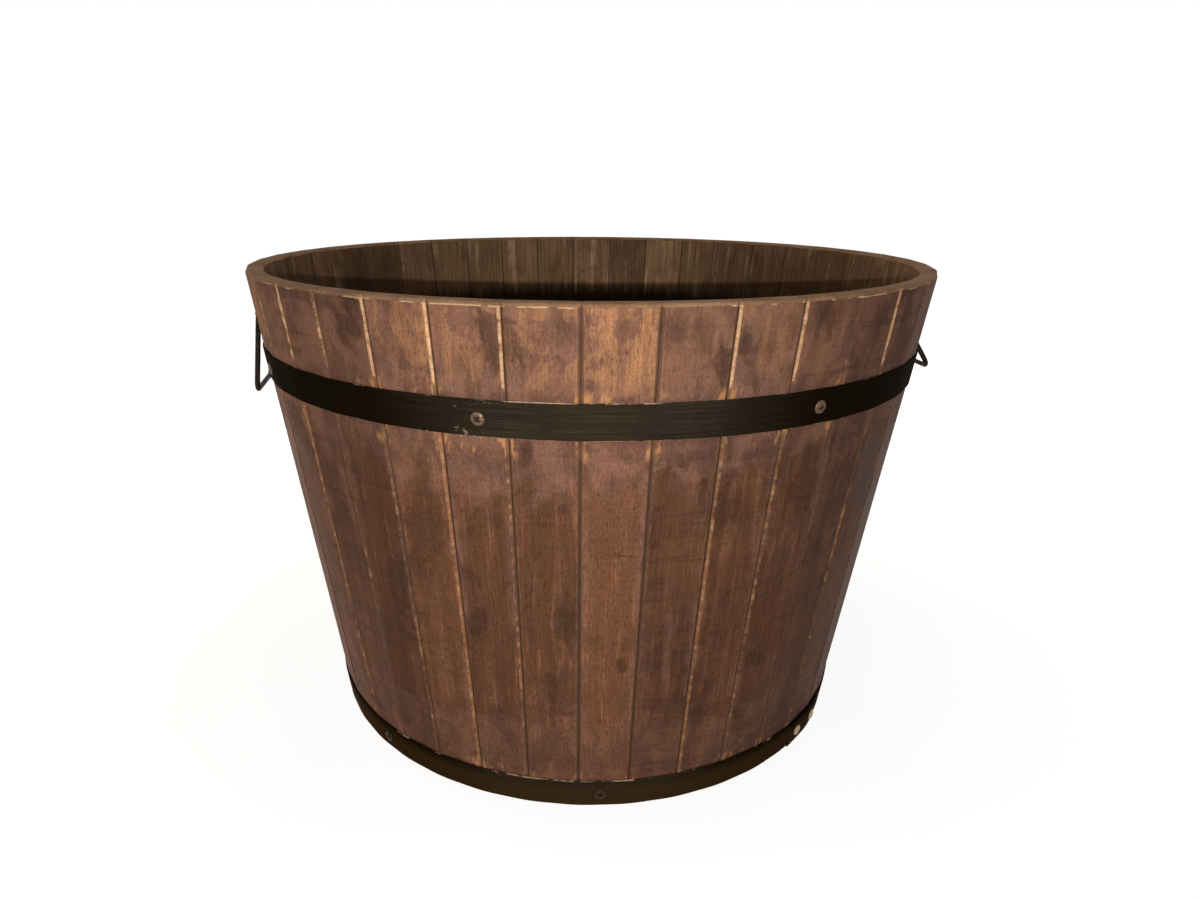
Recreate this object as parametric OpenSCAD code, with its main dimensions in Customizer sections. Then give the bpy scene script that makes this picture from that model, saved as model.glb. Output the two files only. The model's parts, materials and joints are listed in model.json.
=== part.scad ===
// Wooden barrel planter: a round tub of flat, bevelled staves that widens towards the rim,
// held by two steel strap hoops, with a planked floor and a wire drop handle on each side.
// Millimetres, +Z up. The origin is on the tub's axis, at the height of the ground.
// Stave 1 faces +X and carries the right handle; the staves count counter-clockwise from above.

/* [Tub] */
// Rim diameter across the flat outer faces of opposite staves
rim_d = 658; // [600:2:700]
// Foot diameter across the flat outer faces of opposite staves
foot_d = 538; // [490:2:580]
// Height of the tub
tub_h = 448; // [430:2:520]
// Number of staves round the tub
stave_count = 39; // [36:1:42]
// Thickness of a stave
stave_t = 15; // [13:0.5:20]
// Width of the bevel along each long outer edge of a stave
edge_bevel = 2.1; // [1:0.1:3]
// Radius of the rounded edges of the rim
rim_round = 3; // [1:0.25:5]
// Gap between two neighbouring staves
joint_play = 0.1; // [0.05:0.05:0.3]

/* [Hoops] */
// Width of the strap steel, measured along the wall
hoop_w = 28.5; // [20:0.5:34]
// Thickness of the strap steel
hoop_t = 1.5; // [1:0.1:2]
// Distance from the rim down to the upper hoop's lower edge
upper_hoop_down = 96.5; // [96:0.5:190]
// Height of the lower hoop's lower edge above the ground
lower_hoop_z = 0.8; // [0.5:0.1:6]
// Gap between a hoop and the staves
hoop_play = 0.1; // [0.05:0.05:0.3]
// Length of strap past each of the two screws of a lap joint
lap_end = 13; // [9:0.5:14]
// Where a lap's second screw sits, from the middle of the next stave
lap_screw_shift = -15; // [-16:0.5:-10]

/* [Hoop screws] */
// Staves from one hoop screw to the next
screw_stave_count = 5; // [4:1:8]
// Stave of the upper hoop's first screw, counted from stave 1
upper_first = -27; // [-29:1:-24]
// Stave of the lower hoop's first screw, counted from stave 1
lower_first = -25; // [-29:1:-24]
// How far the upper screws sit beside the middle of their stave
upper_screw_shift = 5; // [-6:0.5:6]
// How far the lower screws sit beside the middle of their stave
lower_screw_shift = -3; // [-6:0.5:6]
// Which screw of the upper hoop holds its lap joint
upper_lap_count = 7; // [1:1:7]
// Which screw of the lower hoop holds its lap joint
lower_lap_count = 4; // [1:1:7]

/* [Screw] */
// Diameter of a pan head
head_d = 10.6; // [8:0.2:11]
// Height of a pan head
head_h = 2.6; // [2:0.1:3.2]
// Shank diameter
shank_d = 4; // [3:0.1:5]
// Length of a screw under its head
screw_l = 12; // [8:0.5:12.5]
// Gap round a shank in its pilot hole in the wood
pilot_play = 0.05; // [0.02:0.01:0.1]
// Gap round a shank in its hole in the steel
steel_play = 0.3; // [0.2:0.05:0.5]
// Width of the cross recess
recess_w = 1.1; // [0.8:0.1:1.4]
// Length of the cross recess
recess_l = 5.4; // [4:0.1:6]
// Depth of the cross recess
recess_depth = 1.5; // [1:0.1:1.8]

/* [Floor] */
// Height of the underside of the floor above the ground
floor_z = 25; // [20:0.5:60]
// Thickness of the floor boards
floor_t = 15; // [12:0.5:20]
// Number of floor boards
board_count = 5; // [4:1:5]
// Gap between two floor boards
board_gap = 1; // [0.5:0.1:3]
// Depth of the groove in the staves that holds the floor
croze_depth = 5; // [3:0.5:7]
// Gap between the floor's edge and the bottom of the groove
floor_play = 0.3; // [0.2:0.05:0.5]
// Gap above and below the floor in the groove
croze_play = 0.1; // [0.05:0.05:0.3]
// Diameter of a drain hole
drain_d = 12; // [8:0.5:20]
// Distance of the outer drain holes from the middle line of the floor
drain_x = 70; // [45:5:90]

/* [Battens] */
// Distance of each batten from the middle of the floor
batten_x = 130; // [120:5:150]
// Width of a batten
batten_w = 32; // [24:1:40]
// Thickness of a batten
batten_t = 12; // [10:0.5:16]
// Gap between a batten and the floor boards
batten_play = 0.1; // [0.05:0.05:0.2]
// Gap between a batten's end and the staves
batten_end_play = 4; // [2:0.5:8]
// Length of a floor screw
floor_screw_l = 23; // [20:0.5:23]
// Diameter of a floor screw's flat head
flat_head_d = 8; // [7:0.2:9]

/* [Handles] */
// Diameter of the handle wire
wire_d = 5; // [4:0.25:6]
// Distance from the rim down to a handle bracket's middle
bracket_down = 48; // [40:0.5:49]
// Distance between the two legs' middle lines at the pivot
eye_w = 36; // [34:1:44]
// Length of the grip between the two legs' middle lines
grip_w = 76; // [66:1:90]
// Distance from the pivot to the grip
drop = 70; // [60:1:75]
// Bend radius of the wire at the pivot, on its middle line
eye_bend = 6; // [5:0.25:6.5]
// Bend radius of the wire at the grip, on its middle line
grip_bend = 6.5; // [5:0.25:9]
// How far the left handle stands out from plumb
left_tilt = 4; // [0:1:60]
// How far the right handle stands out from plumb
right_tilt = 28; // [0:1:60]
// Gap round the wire in its bracket
pivot_play = 0.1; // [0.05:0.01:0.1]

/* [Handle brackets] */
// Thickness of the bracket steel
bracket_t = 1.5; // [1.2:0.1:2]
// Width of a bracket, along the pivot
bracket_w = 24; // [20:0.5:24]
// Height of a bracket
bracket_h = 34; // [32:0.5:36]
// Corner radius of a bracket
bracket_round = 3; // [1:0.5:4]
// Distance of a bracket's screws from its middle
bracket_screw = 10.5; // [10:0.1:11]

/* [Hidden] */
STAVES = [for (i = [1:stave_count]) str("stave_", i < 10 ? "0" : "", i)];
BOARDS = [for (i = [1:board_count]) str("floor_board_", i)];

$fn = 48;
wood = [0.40, 0.28, 0.22];
old_wood = [0.30, 0.22, 0.16];
black_steel = [0.15, 0.13, 0.11];
worn_steel = [0.56, 0.47, 0.42];

past = 1;                                   // how far a cut runs past the face that it opens
rim_r = rim_d / 2;
foot_r = foot_d / 2;
inside_r = foot_r * 0.8;                    // well inside the wall at any height
outside_r = rim_r * 1.2;                    // well outside it
taper = atan((rim_r - foot_r) / tub_h);     // the wall's lean from plumb
half_arc = 180 / stave_count;               // half the angle that one stave fills
level_t = stave_t / cos(taper);             // a stave's thickness, measured level
left_stave = ceil(stave_count / 2);         // staves from the right handle to the left one
screw_count = round(stave_count / screw_stave_count);
hoop_top = hoop_w * cos(taper);             // height that a hoop covers on the leaning wall
upper_hoop_z = tub_h - upper_hoop_down;
bracket_z = tub_h - bracket_down;
pivot_off = wire_d / 2 + pivot_play;        // from the stave's face to the handle's pivot
wire_r = wire_d / 2;
floor_r = wall_r(floor_z) - level_t + croze_depth - floor_play;
board_w = 2 * floor_r / board_count;
batten_z = floor_z + croze_play - batten_play - batten_t;
batten_half_l = sqrt(pow(wall_r(batten_z) - level_t - batten_end_play, 2)
    - pow(batten_x + batten_w / 2, 2));
flat_head_h = (flat_head_d - shank_d) / 2;  // a 90 degree countersunk head

// Distance from the tub's axis to the middle of a stave's outer face, at height z
function wall_r(z) = foot_r + (rim_r - foot_r) * z / tub_h;

// Direction in which the stave i steps on from stave 1 faces
function stave_az(i) = 2 * half_arc * i;

// n + 1 points of an arc in the plane
function arc(centre, r, from, to, n) =
    [for (i = [0:n]) let (a = from + (to - from) * i / n) centre + r * [cos(a), sin(a)]];

// Middle of floor board j, counted from 0
function board_y(j) = (j + 0.5) * board_w - floor_r;

// Where a floor screw goes through board j: its middle, or for the two outer boards half way
// from the board's inner edge to the batten's end
function floor_screw_y(j) = let (y = board_y(j), side = sign(y), inner = abs(y) - board_w / 2)
    inner + board_w < floor_r - past ? y : side * (inner + batten_half_l) / 2;

// Moves its children onto the outer face of a stave: +Z leaves the face square, +X runs down
// the stave and +Y counter-clockwise round the tub, shift from the stave's middle line
module on_stave(i, z, shift = 0) {
    rotate([0, 0, stave_az(i)])
        translate([wall_r(z), shift, z])
            rotate([0, 90 + taper, 0])
                children();
}

// The wedge of space between the two joints of the stave that faces +X
module wedge(play) {
    tip = play / 2 / sin(half_arc);
    side = (outside_r - tip) * tan(half_arc);
    translate([0, 0, -2 * past])
        linear_extrude(tub_h + 4 * past)
            polygon([[tip, 0], [outside_r, -side], [outside_r, side]]);
}

// Extrudes an outline, drawn as distance from the axis and height, across one stave
module across_stave() {
    rotate([90, 0, 0])
        linear_extrude(4 * rim_r * tan(half_arc), center = true)
            children();
}

// ---- Staves -------------------------------------------------------------------------------

// A stave seen from its side: leaning, cut level at foot and rim, with a rounded rim
module stave_outline() {
    top = tub_h - rim_round;
    outer = [wall_r(top) - rim_round, top];
    inner = [wall_r(top) - level_t + rim_round, top];
    polygon(concat(
        [[foot_r - level_t, 0], [foot_r, 0]],
        arc(outer, rim_round, 0, 90, 5),
        arc(inner, rim_round, 90, 180, 5)));
}

// The V between two staves, as a square bar along their shared outer corner
module joint_bevel(side) {
    corner = foot_r / cos(half_arc);
    lean = atan(tan(taper) / cos(half_arc));
    rotate([0, 0, side * half_arc])
        translate([corner, 0, 0])
            rotate([0, lean, 0])
                translate([0, 0, -2 * past])
                    linear_extrude(tub_h / cos(lean) + 4 * past)
                        rotate(45)
                            square(edge_bevel * sqrt(2), center = true);
}

// Pilot holes for the screws in stave i
module pilot_holes(i) {
    hole_r = shank_d / 2 + pilot_play;
    depth = screw_l + past;
    for (n = [0:screw_count - 1]) {
        if (same_stave(i, upper_first + n * screw_stave_count))
            screw_hole(0, upper_hoop_z + hoop_top / 2, upper_screw_shift, hole_r, depth);
        if (same_stave(i, lower_first + n * screw_stave_count))
            screw_hole(0, lower_hoop_z + hoop_top / 2, lower_screw_shift, hole_r, depth);
    }
    if (same_stave(i, upper_first + upper_lap_count * screw_stave_count + 1))
        screw_hole(0, upper_hoop_z + hoop_top / 2, lap_screw_shift, hole_r, depth);
    if (same_stave(i, lower_first + lower_lap_count * screw_stave_count + 1))
        screw_hole(0, lower_hoop_z + hoop_top / 2, lap_screw_shift, hole_r, depth);
    if (same_stave(i, 0) || same_stave(i, left_stave))
        on_stave(0, bracket_z)
            for (side = [-1, 1])
                translate([side * bracket_screw, 0, -depth])
                    cylinder(r = hole_r, h = depth + past);
}

// True when two stave numbers, counted round and round the tub, mean one stave
function same_stave(a, b) = (a - b) % stave_count == 0;

// A round cut into the face of stave i
module screw_hole(i, z, shift, r, depth) {
    on_stave(i, z, shift)
        translate([0, 0, -depth])
            cylinder(r = r, h = depth + 4 * past);
}

module stave(i) {
    color(wood)
        rotate([0, 0, stave_az(i)])
            difference() {
                intersection() {
                    across_stave() stave_outline();
                    wedge(joint_play);
                }
                joint_bevel(-1);
                joint_bevel(1);
                translate([0, 0, floor_z])
                    cylinder(r = floor_r + floor_play, h = floor_t + 2 * croze_play, $fn = 96);
                pilot_holes(i);
            }
}

// ---- Hoops --------------------------------------------------------------------------------

// The tub's outline as a solid block between two heights, grown by skin on every flat
module tub_block(low, high, skin) {
    reach = 2 * rim_d;
    intersection() {
        translate([-rim_d, -rim_d, low])
            cube([2 * rim_d, 2 * rim_d, high - low]);
        intersection_for (i = [0:stave_count - 1])
            on_stave(i, (low + high) / 2)
                translate([-reach / 2, -reach / 2, skin - reach])
                    cube(reach);
    }
}

// One layer of strap right round the tub: layer 0 on the staves, layer 1 over it on a lap
module strap_ring(z, layer) {
    skin = hoop_play + layer * hoop_t;
    difference() {
        tub_block(z, z + hoop_top, skin + hoop_t);
        tub_block(z - past, z + hoop_top + past, layer == 0 ? skin : skin - hoop_t / 2);
    }
}

// A point at distance r from the axis, beside the middle line of stave i, seen in plan
function plan_point(i, r, shift) =
    [r * cos(stave_az(i)) - shift * sin(stave_az(i)), r * sin(stave_az(i)) + shift * cos(stave_az(i))];

// The free end of the strap, lying over its start from stave i to the next one
module hoop_lap(z, i, screw_shift) {
    start = screw_shift - lap_end;
    finish = lap_screw_shift + lap_end;
    intersection() {
        strap_ring(z, 1);
        linear_extrude(tub_h)
            polygon([plan_point(i, inside_r, start), plan_point(i, outside_r, start),
                plan_point(i + 1, outside_r, finish), plan_point(i + 1, inside_r, finish)]);
    }
}

// A strap hoop bent round the flats of the tub, drilled for its screws
module hoop(z, first, shift, lap_screw) {
    middle = z + hoop_top / 2;
    hole_r = shank_d / 2 + steel_play;
    lap_stave = first + lap_screw * screw_stave_count;
    color(black_steel)
        difference() {
            union() {
                strap_ring(z, 0);
                hoop_lap(z, lap_stave, shift);
            }
            for (n = [0:screw_count - 1])
                screw_hole(first + n * screw_stave_count, middle, shift, hole_r, past);
            screw_hole(lap_stave + 1, middle, lap_screw_shift, hole_r, past);
        }
}

module upper_hoop() hoop(upper_hoop_z, upper_first, upper_screw_shift, upper_lap_count);
module lower_hoop() hoop(lower_hoop_z, lower_first, lower_screw_shift, lower_lap_count);

// ---- Screws -------------------------------------------------------------------------------

// A pan head screw whose head rests on z = 0, with its shank below
module pan_screw() {
    dome_r = (pow(head_d / 2, 2) + pow(head_h, 2)) / (2 * head_h);
    difference() {
        union() {
            intersection() {
                translate([0, 0, head_h - dome_r])
                    sphere(r = dome_r);
                cylinder(d = head_d, h = head_h);
            }
            translate([0, 0, -screw_l])
                cylinder(d = shank_d, h = screw_l + past);
        }
        for (turn = [0, 90])
            rotate(turn)
                translate([-recess_l / 2, -recess_w / 2, head_h - recess_depth])
                    cube([recess_l, recess_w, recess_depth + past]);
    }
}

// The screws of one hoop, each head on the steel, those of the lap on its upper layer
module hoop_screws(z, first, shift, lap_screw) {
    middle = z + hoop_top / 2;
    seat = hoop_play + hoop_t;
    color(worn_steel) {
        for (n = [0:screw_count - 1])
            on_stave(first + n * screw_stave_count, middle, shift)
                translate([0, 0, n == lap_screw ? seat + hoop_t : seat])
                    pan_screw();
        on_stave(first + lap_screw * screw_stave_count + 1, middle, lap_screw_shift)
            translate([0, 0, seat + hoop_t])
                pan_screw();
    }
}

module upper_hoop_screws() hoop_screws(upper_hoop_z, upper_first, upper_screw_shift, upper_lap_count);
module lower_hoop_screws() hoop_screws(lower_hoop_z, lower_first, lower_screw_shift, lower_lap_count);

// ---- Floor --------------------------------------------------------------------------------

// Drain holes: one in the middle, four on the next boards out
module drain_holes() {
    reach = board_count % 2 == 0 ? board_w / 2 : board_w;
    spots = concat(board_count % 2 == 0 ? [] : [[0, 0]],
        [for (sx = [-1, 1], sy = [-1, 1]) [sx * drain_x, sy * reach]]);
    for (spot = spots)
        translate([spot[0], spot[1], floor_z])
            cylinder(d = drain_d, h = 3 * floor_t, center = true);
}

// Shank holes of the floor screws, from the battens up into the boards
module floor_screw_holes() {
    for (sx = [-1, 1], j = [0:board_count - 1])
        translate([sx * batten_x, floor_screw_y(j), batten_z - past])
            cylinder(r = shank_d / 2 + pilot_play, h = floor_screw_l + 2 * past);
}

// One straight plank of the floor, its outer ends cut round to sit in the groove
module floor_board(j) {
    color(old_wood)
        difference() {
            intersection() {
                translate([0, 0, floor_z + croze_play])
                    cylinder(r = floor_r, h = floor_t, $fn = 96);
                translate([-rim_r, board_y(j) - (board_w - board_gap) / 2, 0])
                    cube([2 * rim_r, board_w - board_gap, tub_h]);
            }
            drain_holes();
            floor_screw_holes();
        }
}

// A batten screwed across the underside of the boards
module batten(side) {
    color(old_wood)
        difference() {
            translate([side * batten_x - batten_w / 2, -batten_half_l, batten_z])
                cube([batten_w, 2 * batten_half_l, batten_t]);
            floor_screw_holes();
            for (j = [0:board_count - 1])
                translate([side * batten_x, floor_screw_y(j), batten_z])
                    flat_head(pilot_play);
        }
}

module left_batten() batten(-1);
module right_batten() batten(1);

// A countersunk head, its flat face down on z = 0
module flat_head(play) {
    cylinder(r1 = flat_head_d / 2 + play, r2 = shank_d / 2 + play, h = flat_head_h + play);
}

module floor_screws() {
    color(worn_steel)
        for (sx = [-1, 1], j = [0:board_count - 1])
            translate([sx * batten_x, floor_screw_y(j), batten_z])
                difference() {
                    union() {
                        flat_head(0);
                        cylinder(d = shank_d, h = floor_screw_l);
                    }
                    for (turn = [0, 90])
                        rotate(turn)
                            translate([-recess_l / 2, -recess_w / 2, -past])
                                cube([recess_l, recess_w, recess_depth + past]);
                }
}

// ---- Handles ------------------------------------------------------------------------------

// A plate with rounded corners, drawn flat
module rounded_plate(h, w, r) {
    square([h, w - 2 * r], center = true);
    square([h - 2 * r, w], center = true);
    for (sx = [-1, 1], sy = [-1, 1])
        translate([sx * (h / 2 - r), sy * (w / 2 - r)])
            circle(r);
}

// A pressed saddle: flat ears above and below, and a half round channel over the wire
module bracket(i) {
    tunnel_r = wire_r + pivot_play;
    color(black_steel)
        on_stave(i, bracket_z)
            difference() {
                union() {
                    translate([0, 0, hoop_play])
                        linear_extrude(bracket_t)
                            rounded_plate(bracket_h, bracket_w, bracket_round);
                    translate([0, 0, pivot_off])
                        rotate([90, 0, 0])
                            cylinder(r = tunnel_r + bracket_t, h = bracket_w, center = true);
                }
                translate([0, 0, pivot_off])
                    rotate([90, 0, 0])
                        cylinder(r = tunnel_r, h = 2 * bracket_w, center = true);
                translate([-tunnel_r, -bracket_w, -bracket_h])
                    cube([2 * tunnel_r, 2 * bracket_w, bracket_h + pivot_off]);
                translate([0, 0, hoop_play - bracket_h / 2])
                    cube([bracket_h, 2 * bracket_w, bracket_h], center = true);
                for (side = [-1, 1])
                    translate([side * bracket_screw, 0, 0])
                        cylinder(r = shank_d / 2 + steel_play, h = 4 * bracket_t, center = true);
            }
}

module left_bracket() bracket(left_stave);
module right_bracket() bracket(0);

module bracket_screws(i) {
    color(worn_steel)
        on_stave(i, bracket_z)
            for (side = [-1, 1])
                translate([side * bracket_screw, 0, hoop_play + bracket_t])
                    pan_screw();
}

module left_bracket_screws() bracket_screws(left_stave);
module right_bracket_screws() bracket_screws(0);

// A closed ring of bent wire in the plane of its corner points, which run clockwise. The
// straights are a hair thinner than the bends and run a little way into them.
module wire_ring(corners, bends) {
    hair = 0.01;
    lap = 0.05;
    n = len(corners);
    turns = [for (k = [0:n - 1]) turn_at(corners, k)];
    trims = [for (k = [0:n - 1]) bends[k] * tan(turns[k] / 2)];
    for (k = [0:n - 1]) {
        from = corners[k];
        along = corners[(k + 1) % n] - from;
        heading = atan2(along[1], along[0]);
        straight = norm(along) - trims[k] - trims[(k + 1) % n];
        translate(from)
            rotate(heading) {
                translate([trims[k] - lap, 0, 0])
                    rotate([90, 0, 90])
                        cylinder(r = wire_r - hair, h = straight + 2 * lap);
                translate([trims[k], -bends[k], 0])
                    rotate(90)
                        rotate_extrude(angle = turns[k])
                            translate([bends[k], 0])
                                circle(wire_r);
            }
    }
}

// How far the wire turns clockwise at corner k
function turn_at(corners, k) =
    let (n = len(corners),
        before = corners[k] - corners[(k + n - 1) % n],
        after = corners[(k + 1) % n] - corners[k])
    -atan2(before[0] * after[1] - before[1] * after[0], before * after);

// The handle's wire: a top bar in the bracket, two spread legs and the grip
module handle(i, tilt) {
    corners = [[-eye_w / 2, 0], [eye_w / 2, 0], [grip_w / 2, -drop], [-grip_w / 2, -drop]];
    bends = [eye_bend, eye_bend, grip_bend, grip_bend];
    color(black_steel)
        rotate([0, 0, stave_az(i)])
            translate([wall_r(bracket_z) + pivot_off * cos(taper), 0,
                    bracket_z - pivot_off * sin(taper)])
                rotate([0, -tilt, 0])
                    rotate([90, 0, 90])
                        wire_ring(corners, bends);
}

module left_handle() handle(left_stave, left_tilt);
module right_handle() handle(0, right_tilt);

for (i = [1:stave_count])
    stave(i - 1);
upper_hoop();
lower_hoop();
upper_hoop_screws();
lower_hoop_screws();
for (j = [1:board_count])
    floor_board(j - 1);
left_batten();
right_batten();
floor_screws();
left_bracket();
right_bracket();
left_bracket_screws();
right_bracket_screws();
left_handle();
right_handle();
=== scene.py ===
import json
import math
import random
from functools import reduce
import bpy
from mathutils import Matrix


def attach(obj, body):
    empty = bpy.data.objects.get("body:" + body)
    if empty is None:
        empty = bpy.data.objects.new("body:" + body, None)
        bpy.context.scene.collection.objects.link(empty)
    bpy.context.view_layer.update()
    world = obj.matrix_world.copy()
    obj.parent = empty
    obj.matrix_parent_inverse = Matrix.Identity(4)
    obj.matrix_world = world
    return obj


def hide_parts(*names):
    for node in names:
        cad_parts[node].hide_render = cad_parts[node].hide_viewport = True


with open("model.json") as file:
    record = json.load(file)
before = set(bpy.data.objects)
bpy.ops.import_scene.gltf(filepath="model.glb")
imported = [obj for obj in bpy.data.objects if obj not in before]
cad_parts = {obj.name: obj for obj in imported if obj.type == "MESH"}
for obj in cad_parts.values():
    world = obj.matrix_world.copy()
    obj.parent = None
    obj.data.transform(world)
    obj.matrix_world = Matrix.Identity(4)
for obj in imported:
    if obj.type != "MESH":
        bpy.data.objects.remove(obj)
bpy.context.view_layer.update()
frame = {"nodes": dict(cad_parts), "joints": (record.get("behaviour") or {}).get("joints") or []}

from types import SimpleNamespace

import bmesh
import bpy
from mathutils import Matrix, Vector

# ---- Camera -------------------------------------------------------------------------------
# The photograph was taken from a little above the rim, about half a metre from the near
# staves, with the right handle almost square to the line of sight.
IMAGE_W = 1200
CAMERA_PLACE = Vector((-0.09192, -0.85035, 0.52295))
CAMERA_TURN = math.radians(4.779)       # heading, from +Y towards +X
CAMERA_DIP = math.radians(18.278)       # below level
CAMERA_ROLL = math.radians(0.216)
FOCAL_PX = 816.2
CENTRE_PX = 567.4                       # where the lens axis meets the picture

camera = bpy.data.objects.new("camera", bpy.data.cameras.new("camera"))
bpy.context.scene.collection.objects.link(camera)
camera.data.sensor_width = 36
camera.data.lens = FOCAL_PX / IMAGE_W * camera.data.sensor_width
camera.data.shift_x = 0.5 - CENTRE_PX / IMAGE_W
camera.data.clip_start = 0.01
camera.matrix_world = Matrix.Translation(CAMERA_PLACE) @ (
    Matrix.Rotation(-CAMERA_TURN, 4, "Z")
    @ Matrix.Rotation(math.pi / 2 - CAMERA_DIP, 4, "X")
    @ Matrix.Rotation(CAMERA_ROLL, 4, "Z"))
bpy.context.scene.camera = camera
bpy.context.scene.view_settings.view_transform = "Standard"

# ---- Staves -------------------------------------------------------------------------------
# 39 flat acacia boards stand in a ring that widens towards the rim. Their long outer edges
# are bevelled, so each joint shows as a V. The wood was stained dark and has worn through to
# bare wood along the bevels. Every stave is one blank, aged by the same Geometry Nodes tree.
STAVES = 39
RIM_R = 0.329                           # axis to the middle of a stave's face, at the rim
FOOT_R = 0.269
TUB_H = 0.448
STAVE_T = 0.015
BEVEL = 0.0021
RIM_ROUND = 0.003
JOINT_GAP = 0.0001
CROZE_LOW = 0.025
CROZE_HIGH = 0.0402
CROZE_DEPTH = 0.005
UPPER_HOOP = (0.3515, 0.3797)           # lowest and highest edge of the strap
LOWER_HOOP = (0.0008, 0.029)
HOOP_LINE = 0.366                       # behind the upper hoop: the wood looks different above it
TAPER = math.atan((RIM_R - FOOT_R) / TUB_H)
HALF_ARC = math.pi / STAVES
ARRIS = 0.00035                         # how softly the bevel's edge is worn round
FOOT_EASE = 0.0004                      # the foot is set back this far over this height
FOOT_EASE_H = 0.0006
INNER_EASE = 0.0005                     # the inner arris is set back this far at a joint
HOLLOW = 0.00022                        # depth of the plane's hollows on a face
CHIP = 0.0009                           # depth of the chips along an arris
ROW_STEP = 0.0045
EDGE_COLUMNS = (0, 0.0007, 0.0014, 0.0018, 0.0021, 0.0024, 0.0029, 0.0042)
MIDDLE_COLUMNS = 7
LAYERS = 4                              # cells through the thickness
ROUND_ANGLES = range(12, 91, 13)        # rows round the rim, in degrees
CREASE = math.radians(40)               # an edge sharper than this stays sharp
SHARP_STEP = 1e-5                       # height of the row pair that makes a sharp corner


def wall_r(z):
    """Distance from the axis to the middle of a stave's outer face."""
    return FOOT_R + (RIM_R - FOOT_R) * z / TUB_H


def shell_of_block(columns, rows, layers, place):
    """The closed skin of a block of cells; place(column, row, layer) gives a corner's point."""
    index, points, faces = {}, [], []

    def corner(key):
        if key not in index:
            index[key] = len(points)
            points.append(place(*key))
        return index[key]

    size = (columns, rows, layers)
    for axis in range(3):
        a, b = (axis + 1) % 3, (axis + 2) % 3
        for end in (0, size[axis]):
            for p in range(size[a]):
                for q in range(size[b]):
                    ring = []
                    for dp, dq in ((0, 0), (1, 0), (1, 1), (0, 1)):
                        key = [0, 0, 0]
                        key[axis], key[a], key[b] = end, p + dp, q + dq
                        ring.append(corner(tuple(key)))
                    faces.append(ring if end else ring[::-1])
    return points, faces, index


def stave_rows():
    """Heights of the blank's rows: close together at the croze's edges and round the rim."""
    plain = TUB_H - RIM_ROUND
    count = round(plain / ROW_STEP)
    heights = {round(plain * k / count, 6) for k in range(count + 1)}
    heights |= {FOOT_EASE_H, CROZE_LOW, CROZE_LOW + SHARP_STEP, CROZE_HIGH, CROZE_HIGH + SHARP_STEP}
    heights |= {plain + RIM_ROUND * math.sin(math.radians(a)) for a in ROUND_ANGLES}
    return sorted(heights)


def rounding(z):
    """How far the rim's rounded edges, and the eased foot, cut into the board at a height."""
    into_rim = max(0.0, z - (TUB_H - RIM_ROUND))
    foot = FOOT_EASE * max(0.0, 1 - z / FOOT_EASE_H)
    return RIM_ROUND - math.sqrt(max(0.0, RIM_ROUND ** 2 - into_rim ** 2)) + foot


def stave_blank():
    """One stave as it leaves the shaper, facing +X, with its places kept as attributes."""
    heights = stave_rows()
    edges = len(EDGE_COLUMNS)
    columns = 2 * edges + MIDDLE_COLUMNS - 1
    level_t = STAVE_T / math.cos(TAPER)
    facts = {}

    def place(column, row, layer):
        z = heights[row]
        from_side = min(column, columns - column)
        bevel = 0.0
        if from_side < edges:
            lift = BEVEL - EDGE_COLUMNS[from_side]
            bevel = 0.5 * (lift + math.hypot(lift, ARRIS))
        outer = max(bevel, rounding(z))
        in_croze = CROZE_LOW < z <= CROZE_HIGH
        inner = max(CROZE_DEPTH if in_croze else 0.0, rounding(z))
        if from_side == 0:
            inner = max(inner, INNER_EASE)
        depth = outer + (level_t - outer - inner) * layer / LAYERS
        half = (wall_r(z) - depth) * math.tan(HALF_ARC) - JOINT_GAP / 2
        if from_side < edges:
            edge = EDGE_COLUMNS[from_side]
            across = half - edge
        else:
            share = (from_side - edges + 1) / (MIDDLE_COLUMNS + 1) * 2
            across = (half - EDGE_COLUMNS[-1]) * max(0.0, 1 - share)
            edge = half - across
        if column < columns / 2:
            across = -across
        facts[(column, row, layer)] = (edge, across, layer / LAYERS)
        return (wall_r(z) - depth, across, z)

    points, faces, index = shell_of_block(columns, len(heights) - 1, LAYERS, place)
    mesh = bpy.data.meshes.new("stave_blank")
    mesh.from_pydata(points, [], faces)
    order = sorted(index, key=index.get)
    for k, name in enumerate(("edge", "across", "inside")):
        mark(mesh, name, [facts[key][k] for key in order])
    mesh.shade_smooth()
    mesh.set_sharp_from_angle(angle=CREASE)
    return mesh


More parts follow.
